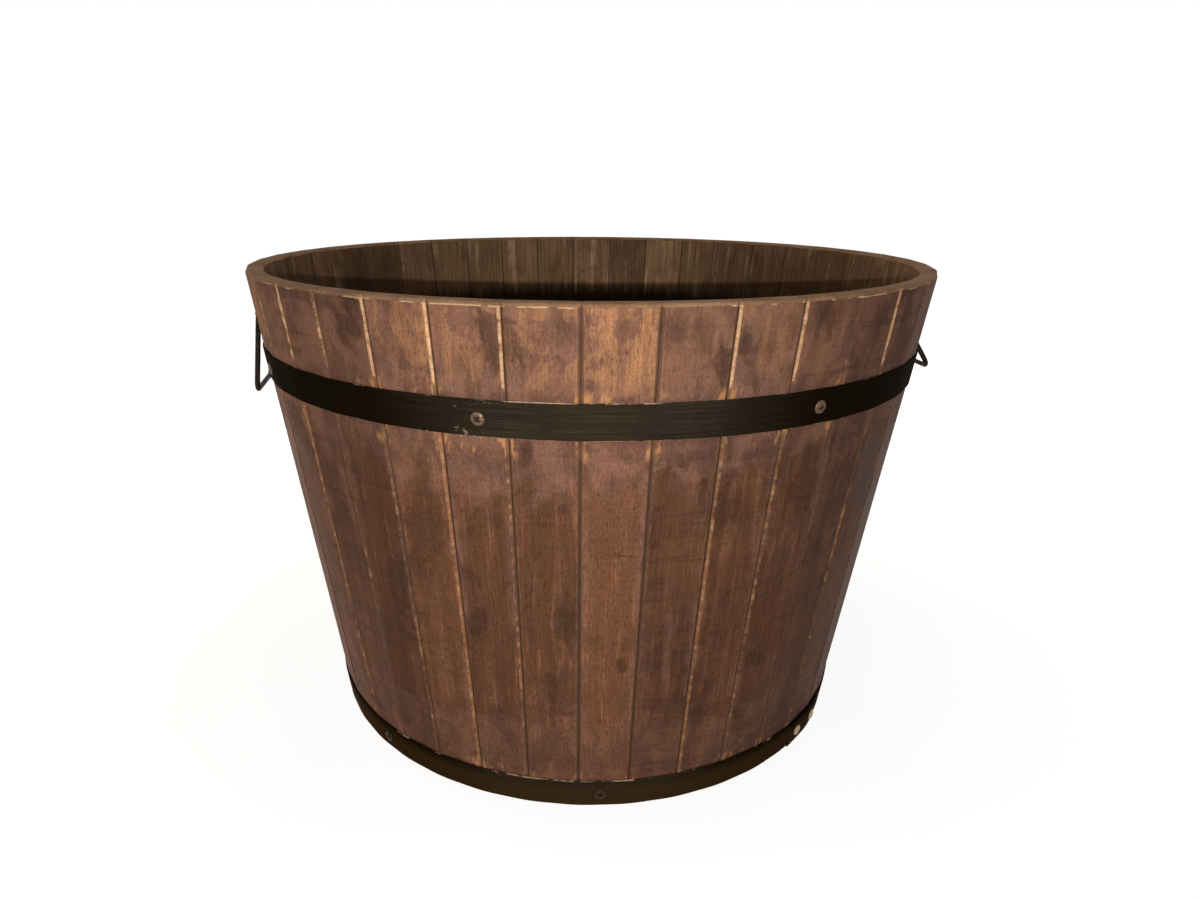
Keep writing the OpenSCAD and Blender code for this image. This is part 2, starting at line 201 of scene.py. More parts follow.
class Nodes:
    """Adds nodes to one tree; an input takes a value or another node's output."""

    def __init__(self, tree):
        self.tree = tree

    def add(self, kind, inputs=None, **settings):
        made = self.tree.nodes.new(kind)
        for name, value in settings.items():
            setattr(made, name, value)
        for name, value in (inputs or {}).items():
            if isinstance(value, bpy.types.NodeSocket):
                self.tree.links.new(value, made.inputs[name])
            else:
                made.inputs[name].default_value = value
        return made

    def make(self, kind, inputs=None, **settings):
        """Adds a node, and gives its first output."""
        return self.add(kind, inputs, **settings).outputs[0]

    def read(self, name, kind="Fac"):
        return self.add("ShaderNodeAttribute", attribute_name=name).outputs[kind]

    def place(self):
        return self.add("ShaderNodeTexCoord").outputs["Object"]

    def point(self, x=0.0, y=0.0, z=0.0):
        return self.make("ShaderNodeCombineXYZ", {"X": x, "Y": y, "Z": z})

    def xyz(self, vector):
        return self.add("ShaderNodeSeparateXYZ", {0: vector}).outputs

    def math(self, operation, a, b=0.0, clamp=False):
        return self.make("ShaderNodeMath", {0: a, 1: b}, operation=operation, use_clamp=clamp)

    def times(self, *values, clamp=False):
        return reduce(lambda a, b: self.math("MULTIPLY", a, b, clamp), values)

    def plus(self, *values, clamp=False):
        return reduce(lambda a, b: self.math("ADD", a, b, clamp), values)

    def minus(self, a, b):
        return self.math("SUBTRACT", a, b)

    def larger(self, *values):
        return reduce(lambda a, b: self.math("MAXIMUM", a, b), values)

    def around(self, noise, reach):
        """Noise about its middle, as a shift to both sides."""
        return self.times(self.minus(noise, 0.5), reach)

    def scaled(self, vector, factor):
        """A vector or a colour times a number, or times one number for each part."""
        if isinstance(factor, bpy.types.NodeSocket):
            factor = self.point(factor, factor, factor)
        return self.make("ShaderNodeVectorMath", {0: vector, 1: factor}, operation="MULTIPLY")

    def length(self, vector):
        return self.add("ShaderNodeVectorMath", {0: vector}, operation="LENGTH").outputs["Value"]

    def noise(self, place, scale, detail=3.0, roughness=0.5, distortion=0.0, w=0.0):
        """Noise of about 0.2 to 0.8; scale is one number, or one for each direction."""
        if not isinstance(scale, (int, float)):
            place, scale = self.scaled(place, scale), 1.0
        return self.make("ShaderNodeTexNoise", {
            "Vector": place, "W": w, "Scale": scale, "Detail": detail, "Roughness": roughness,
            "Distortion": distortion}, noise_dimensions="4D")

    def fade(self, value, low, high, to_low=0.0, to_high=1.0):
        """Goes from to_low to to_high while value goes from low to high."""
        return self.make("ShaderNodeMapRange", {
            "Value": value, "From Min": low, "From Max": high, "To Min": to_low, "To Max": to_high},
            interpolation_type="SMOOTHSTEP")

    def band(self, value, low, high, soft):
        """1 between low and high, fading to 0 over soft on both sides."""
        rise = self.fade(value, low - soft, low + soft)
        return self.times(rise, self.fade(value, high + soft, high - soft))

    def mix(self, share, a, b, blend="MIX"):
        """Colour a with colour b laid over it, as far as the share says."""
        made = self.add("ShaderNodeMix", data_type="RGBA", blend_type=blend)
        for socket, value in zip([made.inputs[k] for k in (0, 6, 7)], (share, a, b)):
            if isinstance(value, bpy.types.NodeSocket):
                self.tree.links.new(value, socket)
            else:
                socket.default_value = value if isinstance(value, (int, float)) else (*value, 1)
        return made.outputs[2]

    def store(self, geometry, name, value, kind="FLOAT"):
        """Keeps a value on the geometry's points, under a name."""
        return self.make("GeometryNodeStoreNamedAttribute", {
            "Geometry": geometry, "Name": name, "Value": value}, data_type=kind, domain="POINT")


def shader(name):
    """A new material with one Principled shader, and the maker of its nodes."""
    material = bpy.data.materials.new(name)
    material.use_nodes = True
    tree = material.node_tree
    principled = tree.nodes["Principled BSDF"]
    return material, Nodes(tree), principled


def lay_on(n, principled, colour, rough, gloss, relief=None, bump=(0.0, 0.0)):
    """Joins a material's layers to its shader; bump is the relief's strength and its height."""
    n.tree.links.new(colour, principled.inputs["Base Color"])
    n.tree.links.new(rough, principled.inputs["Roughness"])
    principled.inputs["Specular IOR Level"].default_value = gloss
    if relief is not None:
        strength, height = bump
        raised = n.make("ShaderNodeBump", {"Strength": strength, "Distance": height, "Height": relief})
        n.tree.links.new(raised, principled.inputs["Normal"])


def modifier_tree(name, **sizes):
    """An empty Geometry Nodes tree, with the names of its sizes by their kind."""
    tree = bpy.data.node_groups.new(name, "GeometryNodeTree")
    tree.interface.new_socket("Geometry", in_out="INPUT", socket_type="NodeSocketGeometry")
    for kind, labels in sizes.items():
        for label in labels:
            tree.interface.new_socket(label, in_out="INPUT", socket_type="NodeSocket" + kind)
    tree.interface.new_socket("Geometry", in_out="OUTPUT", socket_type="NodeSocketGeometry")
    nodes = Nodes(tree)
    given = nodes.add("NodeGroupInput").outputs
    return tree, nodes, given


def end_tree(nodes, geometry, material):
    """Every tree ends in real geometry with its material on it."""
    real = nodes.make("GeometryNodeRealizeInstances", {"Geometry": geometry})
    painted = nodes.make("GeometryNodeSetMaterial", {"Geometry": real, "Material": material})
    nodes.add("NodeGroupOutput", {"Geometry": painted})


def mark(mesh, name, values, kind="FLOAT"):
    """Keeps a value, or a vector's three numbers, for each point of a mesh under a name."""
    marks = mesh.attributes.new(name, kind, "POINT")
    marks.data.foreach_set("value" if kind == "FLOAT" else "vector", values)


def real_mesh(piece):
    """A piece's mesh as its modifiers leave it; the modifiers go."""
    graph = bpy.context.evaluated_depsgraph_get()
    result = bpy.data.meshes.new_from_object(piece.evaluated_get(graph))
    piece.modifiers.clear()
    piece.data = result
    return result


def new_object(name, data):
    made = bpy.data.objects.new(name, data)
    bpy.context.scene.collection.objects.link(made)
    return made


def made_by(tree, name, mesh, sizes):
    """A plain object: the mesh as the tree changes it, with these values for its inputs."""
    piece = new_object(name, mesh)
    modifier = piece.modifiers.new(name, "NODES")
    modifier.node_group = tree
    for socket in tree.interface.items_tree:
        if socket.in_out == "INPUT" and socket.name in sizes:
            modifier[socket.identifier] = sizes[socket.name]
    real_mesh(piece).name = name
    return piece


# The wood's colours and tints, as red, green and blue.
WOOD = SimpleNamespace(
    stain_deep=(0.15, 0.067, 0.038), stain_thin=(0.192, 0.091, 0.053),
    stain_warm=(0.225, 0.106, 0.062), bare_grain=(0.47, 0.212, 0.095),
    bare_glow=(0.36, 0.17, 0.087), damp=(0.076, 0.04, 0.025), haze_thin=(0.205, 0.111, 0.086),
    haze_thick=(0.335, 0.182, 0.138), stroke=(0.105, 0.06, 0.044), rubbed=(0.53, 0.268, 0.13),
    blot=(0.086, 0.045, 0.028), fibre_tint=(0.5, 0.43, 0.39), pore_tint=(0.38, 0.31, 0.27),
    brush_tint=(0.6, 0.52, 0.48), patch_tint=(1.3, 1.24, 1.18), mottle_tint=(0.48, 0.41, 0.38),
    knot=(0.058, 0.034, 0.021), crack=(0.05, 0.026, 0.017), scrape=(0.6, 0.29, 0.12),
    scratch=(0.5, 0.3, 0.19), groove=(0.148, 0.08, 0.05), flank_dull=(0.34, 0.155, 0.07),
    flank_bright=(0.9, 0.55, 0.3), flank_speck=(0.22, 0.105, 0.052), arris=(0.48, 0.285, 0.17),
    joint=(0.04, 0.023, 0.015), rim_dull=(0.29, 0.16, 0.088), rim_bright=(0.5, 0.3, 0.172),
    rim_damp=(0.2, 0.108, 0.056), rim_seam=(0.09, 0.05, 0.03), rim_line=(0.8, 0.53, 0.31),
    inside_dull=(0.18, 0.098, 0.05), inside_bright=(0.345, 0.205, 0.113),
    inside_worn=(0.5, 0.335, 0.205), inside_patch=(0.11, 0.06, 0.031),
    # Painted shadow: the next two colours darken the inside wall where the near rim's shade falls.
    painted_shadow_dark=(0.02, 0.01, 0.005), painted_shadow_light=(0.052, 0.029, 0.016),
    inside_seam=(0.46, 0.33, 0.21), inside_joint=(0.008, 0.004, 0.002))


def distance_from(n, b, name):
    """How far a point is beside a mark, and its distance in radii; marks are twice as tall."""
    across, up, radius = n.xyz(n.read(name, "Vector"))
    aside = n.minus(b.across, across)
    above = n.math("DIVIDE", n.minus(b.up, up), 2.0)
    return aside, n.math("DIVIDE", n.length(n.point(aside, above)), radius)


def read_board(n):
    """The places and numbers that the wood's layers work from, for one point of a stave."""
    names = ("edge", "across", "inside", "number", "wear", "tone", "bare")
    b = SimpleNamespace(**{name: n.read(name) for name in names})
    b.place = n.place()
    b.up = n.xyz(b.place)[2]
    aside, b.from_knot = distance_from(n, b, "knot")
    b.from_stain = n.math("MINIMUM", distance_from(n, b, "stain")[1], distance_from(n, b, "drip")[1])
    b.crack_aside, b.from_crack = distance_from(n, b, "crack")
    # The grain wanders slowly and bends round the knot.
    pull = n.math("EXPONENT", n.times(b.from_knot, -0.6))
    b.flat = n.point(b.across, b.up)
    slow = n.noise(b.flat, (20, 5, 1), 2, w=b.number)
    grain_x = n.minus(b.across, n.times(aside, pull, 0.85))
    grain_x = n.plus(grain_x, n.times(slow, 0.012))
    board = n.point(grain_x, b.up)
    b.fibre = n.noise(board, (1100, 55, 1), 4, 0.7, w=b.number)
    b.pore = n.noise(board, (1300, 150, 1), 2, 0.6, w=b.number)
    b.streak = n.noise(board, (520, 15, 1), 4, 0.66, w=b.number)
    b.broad = n.noise(board, (90, 5, 1), 4, 0.6, w=b.number)
    b.patch = n.noise(b.flat, (45, 26, 1), 5, 0.62, 0.8, w=b.number)
    b.lap = n.noise(b.place, (15, 15, 21), 5, 0.62, 1.2)
    b.cloud = n.noise(b.place, (22, 22, 19), 5, 0.6, 1.0, w=3.0)
    b.brush = n.noise(b.place, (22, 22, 520), 3, 0.6, w=2.0)
    b.stroke = n.noise(b.place, (7, 7, 75), 4, 0.6, 0.3, w=9.0)
    b.mottle = n.noise(b.place, 520, 4, 0.75)
    b.ragged = n.noise(b.place, (240, 240, 120), 3, 0.6)
    return b


def stain(n, b):
    """Red-brown stain over the grain, with bare orange streaks and dark damp clouds."""
    colour = n.mix(n.fade(b.streak, 0.32, 0.68), WOOD.stain_deep, WOOD.stain_thin)
    colour = n.mix(n.times(n.fade(b.broad, 0.42, 0.66), 0.7), colour, WOOD.stain_warm)
    show = n.times(
        n.fade(b.streak, 0.46, 0.62), n.fade(b.broad, 0.44, 0.58),
        n.fade(b.patch, 0.44, 0.56, 0.15, 1.0), b.bare, clamp=True)
    colour = n.mix(n.times(show, 0.75), colour, WOOD.bare_grain)
    dark = n.times(n.fade(b.cloud, 0.5, 0.6), n.fade(b.lap, 0.53, 0.46))
    colour = n.mix(n.times(dark, n.fade(b.up, 0.36, 0.37, 0.5, 0.38)), colour, WOOD.damp)
    return n.mix(n.times(n.fade(b.bare, 0.7, 1.2), 0.3), colour, WOOD.bare_glow)


def haze(n, b, colour):
    """A thin violet grey film: thick above the upper hoop and beside the hoops, patchy below."""
    up = b.up
    frayed = n.around(b.ragged, 0.16)
    lap = n.plus(b.lap, frayed)
    cloud = n.plus(b.cloud, frayed)
    ripple = n.around(lap, 0.19)
    top = n.fade(up, HOOP_LINE, HOOP_LINE + 0.002)
    over_hoop = n.times(top, n.fade(lap, 0.47, 0.52, 0.25, 0.92))
    close = n.fade(n.plus(up, n.times(ripple, 0.35)), 0.401, 0.395)
    close = n.times(close, top)
    under_hoop = n.fade(n.plus(up, ripple), 0.3, 0.332)
    smear = n.times(n.fade(cloud, 0.49, 0.58), n.fade(b.broad, 0.45, 0.58))
    run = n.noise(b.flat, (8, 9, 1), 3, 0.6, w=n.plus(b.number, 0.5))
    by_joint = n.times(n.fade(b.edge, 0.0095, 0.003), n.fade(run, 0.47, 0.58))
    at_foot = n.fade(n.plus(up, n.times(ripple, 0.25)), 0.092, 0.086)
    film = n.larger(
        over_hoop, n.times(close, 0.9), n.times(under_hoop, 0.78),
        n.times(smear, n.fade(b.bare, 0.2, 0.9, 0.6, 0.3)), n.times(by_joint, 0.7),
        n.times(at_foot, 0.45))
    rubbed = n.times(n.fade(b.streak, 0.45, 0.66), b.bare, 0.6)
    film = n.times(film, n.minus(1.0, rubbed), n.fade(b.brush, 0.35, 0.65, 0.75, 1.0), clamp=True)
    tint = n.mix(n.fade(b.patch, 0.4, 0.6), WOOD.haze_thin, WOOD.haze_thick)
    colour = n.mix(film, colour, tint)
    stroke = n.times(n.fade(b.stroke, 0.52, 0.6), n.fade(lap, 0.44, 0.54, 0.15, 0.5))
    colour = n.mix(n.times(stroke, n.fade(b.bare, 0.3, 0.8, 1.0, 0.35)), colour, WOOD.stroke)
    # Above the hoop some patches are rubbed to warm bare wood, and some are stained dark.
    glow = n.times(
        n.fade(cloud, 0.45, 0.53), n.fade(up, 0.378, 0.398),
        n.fade(b.broad, 0.38, 0.58, 0.2, 0.8), b.bare, n.fade(b.streak, 0.35, 0.6, 0.5, 1.0))
    colour = n.mix(n.times(glow, 1.1, clamp=True), colour, WOOD.rubbed)
    blot = n.plus(b.from_stain, n.around(cloud, 5.5), n.around(b.patch, 3.0))
    blot = n.fade(blot, 0.55, 1.2, 0.46, 0.0)
    return n.mix(blot, colour, WOOD.blot), film


def fibres(n, b, colour):
    """Fine dark pores along the grain, and a mottle like brushed stain."""
    colour = n.mix(n.times(n.fade(b.fibre, 0.42, 0.62), 0.34), colour, WOOD.fibre_tint, "MULTIPLY")
    pores = n.times(n.fade(b.pore, 0.55, 0.66), n.fade(b.bare, 0.2, 1.2, 0.35, 0.8))
    colour = n.mix(pores, colour, WOOD.pore_tint, "MULTIPLY")
    colour = n.mix(n.fade(b.brush, 0.4, 0.62, 0.0, 0.16), colour, WOOD.brush_tint, "MULTIPLY")
    colour = n.mix(n.fade(b.patch, 0.42, 0.6, 0.0, 0.3), colour, WOOD.patch_tint, "MULTIPLY")
    return n.mix(n.fade(b.mottle, 0.35, 0.65, 0.46, 0.0), colour, WOOD.mottle_tint, "MULTIPLY")


def knots(n, b, colour):
    """A knot's dark heart in a smoky patch, and a star of fine cracks on a few staves."""
    near = n.plus(b.from_knot, n.around(b.cloud, 1.6), n.around(b.ragged, 1.2))
    heart = n.times(n.fade(near, 0.5, 0.15), 0.8)
    smoke = n.times(n.fade(near, 1.5, 0.6), 0.6)
    colour = n.mix(n.larger(heart, smoke), colour, WOOD.knot)
    crack_up = n.xyz(n.read("crack", "Vector"))[1]
    above = n.plus(n.minus(b.up, crack_up), n.around(b.ragged, 0.005))
    web = 0.0
    for angle, reach in ((-8, 1.9), (40, 0.7), (128, 0.55)):
        away = n.plus(
            n.times(above, math.cos(math.radians(angle))),
            n.times(b.crack_aside, -math.sin(math.radians(angle))))
        line = n.fade(n.math("ABSOLUTE", away), 0.0006, 0.0002)
        line = n.times(line, n.fade(b.from_crack, reach, 0.6 * reach))
        web = n.larger(web, line)
    return n.mix(n.times(web, 0.62), colour, WOOD.crack)


def scrapes(n, b, colour):
    """Short tan scrapes where the hoops were driven on, and a few fine scratches."""
    up = b.up
    beside = n.larger(
        n.band(up, 0.3375, 0.3535, 0.006), n.band(up, 0.377, 0.3865, 0.006),
        n.band(up, 0.027, 0.036, 0.005))
    hits = n.noise(b.flat, (230, 90, 1), 5, 0.68, w=b.number)
    groups = n.noise(b.place, (30, 30, 30), 2, w=8.0)
    reach = n.fade(b.edge, 0.001, 0.01, 0.15, -0.04)
    scrape = n.fade(n.plus(hits, reach, n.times(groups, 0.8)), 0.98, 1.14)
    colour = n.mix(n.times(beside, scrape, 0.82), colour, WOOD.scrape)
    path = n.noise(b.place, (24, 24, 9), 1, 0.4, 2.2, w=5.0)
    line = n.fade(n.math("ABSOLUTE", n.minus(path, 0.5)), 0.0022, 0.0006)
    where = n.fade(n.noise(b.place, (19, 19, 26), 3, 0.6, w=6.0), 0.58, 0.66)
    return n.mix(n.times(line, where, 0.55), colour, WOOD.scratch)


def worn_bevels(n, b, colour):
    """Stain lies in the V between two staves; its flanks and arrises are worn bare in runs."""
    edge, up = b.edge, b.up
    side = n.math("SIGN", b.across)
    wander = n.plus(edge, n.around(b.ragged, 0.0018))
    long_run = n.noise(n.point(side, up), (3, 11, 1), 2, 0.5, w=b.number)
    short_run = n.noise(n.point(side, up), (3, 95, 1), 5, 0.72, w=b.number)
    worn = n.plus(
        b.wear, n.around(long_run, 1.9), n.around(short_run, 1.5),
        n.fade(up, HOOP_LINE, HOOP_LINE + 0.006, -0.1, 0.1))
    over_hoop = n.times(n.fade(up, HOOP_LINE, HOOP_LINE + 0.001), n.fade(up, 0.391, 0.385))
    worn = n.times(n.fade(worn, 0.48, 0.98), n.minus(1.0, over_hoop))
    in_groove = n.fade(wander, 0.0025, 0.0018)
    colour = n.mix(n.times(in_groove, 0.72), colour, WOOD.groove)
    high = n.plus(n.times(worn, 0.0015), 0.0009)
    flank = n.times(n.fade(n.minus(wander, high), 0.0002, -0.0003), n.fade(edge, 0.0003, 0.0008))
    pale = n.plus(short_run, n.times(n.fade(up, 0.36, 0.38), 0.2))
    tan = n.mix(n.fade(pale, 0.47, 0.78), WOOD.flank_dull, WOOD.flank_bright)
    tan = n.mix(n.fade(b.mottle, 0.44, 0.56, 0.4, 0.0), tan, WOOD.flank_speck)
    colour = n.mix(n.times(flank, worn, 0.95), colour, tan)
    arris = n.times(
        n.band(wander, 0.0019, 0.0026, 0.0003), n.fade(short_run, 0.44, 0.58),
        n.fade(b.wear, 0.1, 0.8, 0.28, 0.55))
    colour = n.mix(arris, colour, WOOD.arris)
    bottom = n.fade(n.plus(edge, n.times(b.ragged, 0.0006)), 0.0008, 0.0003)
    return n.mix(n.times(bottom, 0.8), colour, WOOD.joint), worn


def rim(n, b, colour):
    """End grain and rounded edges at the rim, rubbed to a furry tan with brighter worn lines."""
    fur = n.noise(b.place, (700, 700, 500), 4, 0.7)
    wood = n.mix(n.fade(fur, 0.3, 0.7), WOOD.rim_dull, WOOD.rim_bright)
    wood = n.mix(n.times(n.fade(b.cloud, 0.48, 0.58), 0.5), wood, WOOD.rim_damp)
    seam = n.fade(n.plus(b.edge, n.times(b.ragged, 0.0008)), 0.0005, 0.0011, 0.45, 0.0)
    wood = n.mix(seam, wood, WOOD.rim_seam)
    wood = n.scaled(wood, n.fade(n.noise(n.point(b.number), 0.73, 1), 0.35, 0.65, 0.88, 1.1))
    high = n.plus(b.up, n.times(b.ragged, 0.0018))
    on_rim = n.fade(high, 0.4456, 0.4468)
    colour = n.mix(n.times(on_rim, 0.92), colour, wood)
    line = n.band(high, 0.4455, 0.4464, 0.0003)
    rubbed = n.fade(n.noise(b.place, (26, 26, 1), 3, 0.7), 0.5, 0.55)
    colour = n.mix(n.times(line, rubbed, 0.9), colour, WOOD.rim_line)
    return colour, on_rim, n.times(fur, on_rim)


def inner_face(n, b, colour, on_rim):
    """Unstained wood inside: olive brown and streaky near the rim. Below that the colour is painted
    shadow, dark for the near rim's shade and lighter towards the floor."""
    # Painted shadow: below about 0.38 to 0.40 m the inside wall takes dark colours that stand in for the
    # near rim's shade.
    above_painted_shadow = n.fade(n.plus(b.up, n.times(b.broad, 0.02)), 0.38, 0.402)
    pale = n.mix(n.fade(b.streak, 0.35, 0.65), WOOD.inside_dull, WOOD.inside_bright)
    worn = n.times(n.fade(b.broad, 0.53, 0.6), n.fade(b.cloud, 0.46, 0.56, 0.15, 0.75))
    pale = n.mix(worn, pale, WOOD.inside_worn)
    pale = n.mix(n.times(n.fade(b.patch, 0.46, 0.62), 0.4), pale, WOOD.inside_patch)
    number_luck = n.fade(n.noise(n.point(b.number), 0.91, 1), 0.35, 0.65, 0.58, 1.22)
    # Painted light and shade: the walls near the middle in x, opposite the front and behind it, are made
    # lighter and those at the sides darker, with each stave's own tone on top.
    x = n.xyz(b.place)[0]
    painted_light_and_tone = n.times(n.fade(x, -0.24, -0.06, 0.62, 1.28), n.fade(x, 0.1, 0.24, 1.0, 0.65), number_luck)
    pale = n.scaled(pale, painted_light_and_tone)
    painted_shadow = n.mix(n.fade(b.streak, 0.35, 0.7), WOOD.painted_shadow_dark, WOOD.painted_shadow_light)
    # The painted shadow is made lighter towards the floor, up to 3.6 times as light near the bottom.
    painted_shadow_lift = n.fade(b.up, 0.12, 0.34, 3.6, 1.0)
    wood = n.mix(above_painted_shadow, n.scaled(painted_shadow, painted_shadow_lift), pale)
    seam = n.fade(n.plus(b.edge, n.times(b.ragged, 0.001)), 0.0022, 0.0012)
    wood = n.mix(n.times(seam, above_painted_shadow, n.fade(b.wear, 0.2, 0.9, 0.0, 0.4)), wood, WOOD.inside_seam)
    gap = n.fade(n.plus(b.edge, n.times(b.ragged, 0.0008)), 0.0007, 0.0014, 0.7, 0.0)
    wood = n.mix(gap, wood, WOOD.inside_joint)
    facing_in = n.times(n.fade(b.inside, 0.55, 0.9), n.minus(1.0, on_rim))
    return n.mix(facing_in, colour, wood)


def stained_wood():
    """The staves' finish, laid on as the real one was: stain, haze, wear, then rim and inside."""
    material, n, principled = shader("stained_acacia")
    b = read_board(n)
    colour, film = haze(n, b, stain(n, b))
    colour = knots(n, b, fibres(n, b, colour))
    colour, worn = worn_bevels(n, b, scrapes(n, b, colour))
    tone = n.make("ShaderNodeCombineColor", {0: b.tone, 1: b.tone, 2: b.tone})
    colour, on_rim, fur = rim(n, b, n.mix(1.0, colour, tone, "MULTIPLY"))
    colour = inner_face(n, b, colour, on_rim)
    rough = n.plus(n.fade(film, 0.0, 0.7, 0.52, 0.62), n.times(worn, 0.08))
    relief = n.plus(
        n.times(b.fibre, 0.6), n.times(b.streak, 0.8), n.times(b.mottle, 0.3), n.times(fur, 9.0))
    lay_on(n, principled, colour, rough, 0.03, relief, (0.4, 0.0005))
    return material


def weathering_tree(material):
    """Ages one blank: hand-planed hollows, chipped arrises, and its own number and wear."""
    tree, n, given = modifier_tree(
        "stave_weathering", Vector=("Knot", "Stain", "Drip", "Crack"),
        Float=("Number", "Turn", "Hollow", "Chip", "Tone", "Bare", "Wear before", "Wear after"))
    read = {name: n.make("GeometryNodeInputNamedAttribute", {"Name": name})
            for name in ("edge", "across", "inside")}
    place = n.make("GeometryNodeInputPosition")
    outer = n.fade(read["inside"], 0.3, 0.0)
    hollow = n.times(n.noise(place, (1, 40, 9), 2, w=given["Number"]), given["Hollow"])
    at_arris = n.band(read["edge"], 0.001, 0.003, 0.0005)
    chips = n.fade(n.noise(place, (60, 60, 85), 2, 0.6, w=given["Number"]), 0.56, 0.72)
    chips = n.times(chips, at_arris, given["Chip"])
    inward = n.times(n.plus(hollow, chips), outer)
    shaped = n.make("GeometryNodeSetPosition", {
        "Geometry": given["Geometry"], "Offset": n.point(n.times(inward, -1.0))})
    after = n.math("GREATER_THAN", read["across"], 0.0)
    wear = n.plus(n.times(after, given["Wear after"]), n.times(n.minus(1.0, after), given["Wear before"]))
    shaped = n.store(shaped, "wear", wear)
    for name in ("Number", "Tone", "Bare"):
        shaped = n.store(shaped, name.lower(), given[name])
    for name in ("Knot", "Stain", "Drip", "Crack"):
        shaped = n.store(shaped, name.lower(), given[name], "FLOAT_VECTOR")
    turn = n.point(0.0, 0.0, given["Turn"])
    turned = n.make("GeometryNodeTransform", {"Geometry": shaped, "Rotation": turn})
    end_tree(n, turned, material)
    return tree


# The front staves as the photograph shows them: how light each is, how much bare grain it
# shows, then its knot and its two darkest stains, as (across, height, radius) in metres.
NOWHERE = (0.0, -1.0, 0.001)            # far below the foot: a stave without that mark
FRONT_STAVES = {
    23: (1.22, 0.3, NOWHERE, (0.004, 0.33, 0.02), NOWHERE),
    24: (1.1, 0.28, NOWHERE, (-0.01, 0.26, 0.02), NOWHERE),
    25: (1.0, 0.2, NOWHERE, (0.006, 0.422, 0.015), (0.01, 0.2, 0.016)),
    26: (1.23, 1.0, NOWHERE, (0.0, 0.265, 0.02), NOWHERE),
    27: (1.12, 0.7, (-0.014, 0.1845, 0.007), (0.018, 0.424, 0.008), NOWHERE),
    28: (1.1, 0.75, (0.0125, 0.194, 0.009), (-0.022, 0.424, 0.009), (-0.012, 0.343, 0.005)),
    29: (1.12, 1.2, (0.0102, 0.156, 0.0036), NOWHERE, NOWHERE),
    30: (0.98, 0.35, NOWHERE, (0.016, 0.4, 0.008), (0.017, 0.126, 0.01)),
    31: (1.0, 0.5, (-0.0187, 0.4208, 0.0045), (-0.016, 0.291, 0.013), (-0.016, 0.122, 0.013)),
    32: (0.9, 0.45, NOWHERE, (0.01, 0.3, 0.012), (0.0, 0.425, 0.01)),
    33: (0.79, 0.25, NOWHERE, (0.006, 0.262, 0.022), NOWHERE),
    34: (0.88, 0.2, NOWHERE, (0.0, 0.3, 0.018), (0.0, 0.42, 0.016))}
FRONT_CRACKS = {29: (0.0033, 0.2586, 0.009), 28: (-0.012, 0.343, 0.0035)}
# How far the two flanks of the joint after each of these staves are worn, from 0 to 1.
FRONT_JOINTS = {
    22: (0.5, 0.2), 23: (0.9, 0.3), 24: (0.55, 0.2), 25: (0.8, 0.25), 26: (1.0, 0.35),
    27: (0.8, 0.35), 28: (0.25, 0.2), 29: (0.2, 0.3), 30: (0.3, 1.0), 31: (0.25, 0.85),
    32: (0.2, 0.45), 33: (0.25, 0.75), 34: (0.2, 0.4)}

luck = random.Random(39)
stave_wood = stained_wood()
weathering = weathering_tree(stave_wood)
blank = stave_blank()
flank_wear = []
for i in range(STAVES):
    worn_by_luck = (luck.uniform(0.1, 0.95), luck.uniform(0.1, 0.95))
    flank_wear.append(FRONT_JOINTS.get(i, worn_by_luck))
for i in range(STAVES):
    knot_place = (luck.uniform(-0.014, 0.014), luck.uniform(0.08, 0.42), luck.uniform(0.003, 0.007))
    stain_place = (luck.uniform(-0.018, 0.018), luck.uniform(0.25, 0.43), luck.uniform(0.01, 0.018))
    drip_place = (luck.uniform(-0.018, 0.018), luck.uniform(0.05, 0.25), luck.uniform(0.008, 0.018))
    light = luck.uniform(0.88, 1.1)
    bare_share = luck.uniform(0.2, 0.9)
    own_knot = knot_place if luck.random() < 0.45 else NOWHERE
    crack_place = knot_place if luck.random() < 0.15 else NOWHERE
    if i in FRONT_STAVES:
        light, bare_share, own_knot, stain_place, drip_place = FRONT_STAVES[i]
        crack_place = FRONT_CRACKS.get(i, NOWHERE)
    stave = made_by(weathering, f"stave_{i + 1:02d}_board", blank, {
        "Number": float(i), "Turn": 2 * HALF_ARC * i, "Hollow": HOLLOW, "Chip": CHIP,
        "Tone": light, "Bare": bare_share, "Wear before": flank_wear[i - 1][1],
        "Wear after": flank_wear[i][0], "Knot": own_knot, "Stain": stain_place, "Drip": drip_place,
        "Crack": crack_place})
    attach(stave, "tub")
    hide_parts(f"stave_{i + 1:02d}")

# ---- Hoops --------------------------------------------------------------------------------
# Two hoops of strap steel, bent a little at every joint of the staves, painted black. Each
# strap's free end laps over its start. The paint is rubbed at the edges. At the front its
# brush streaks are lighter brown, a painted highlight, and the lower hoop is muddy there too.
STRAP_W = 0.0285
STRAP_T = 0.0015
STRAP_GAP = 0.0001
STRAP_EDGE = 0.0004                     # radius of the strap's rounded edges
STRAP_BEND = 0.15                       # radius of the bend over a joint
STRAP_STEP = 0.0012                     # length of a cell round the strap's section
STRAP_CREASE = math.radians(50)
FRONT_TURN = -1.66                      # where the tub's front lies round its axis, in radians
LAP_END = 0.013
LAP_SCREW = -0.015
LAP_GAP = 0.00002
HOOP = SimpleNamespace(
    # The second colour is the streaks' lighter brown, which the front's painted highlight uses.
    black=(0.007, 0.004, 0.0014), rubbed=(0.12, 0.093, 0.067), cloud=(0.018, 0.012, 0.007),
    mud=(0.074, 0.038, 0.012), edge=(0.62, 0.43, 0.28), chip=(0.42, 0.32, 0.22))


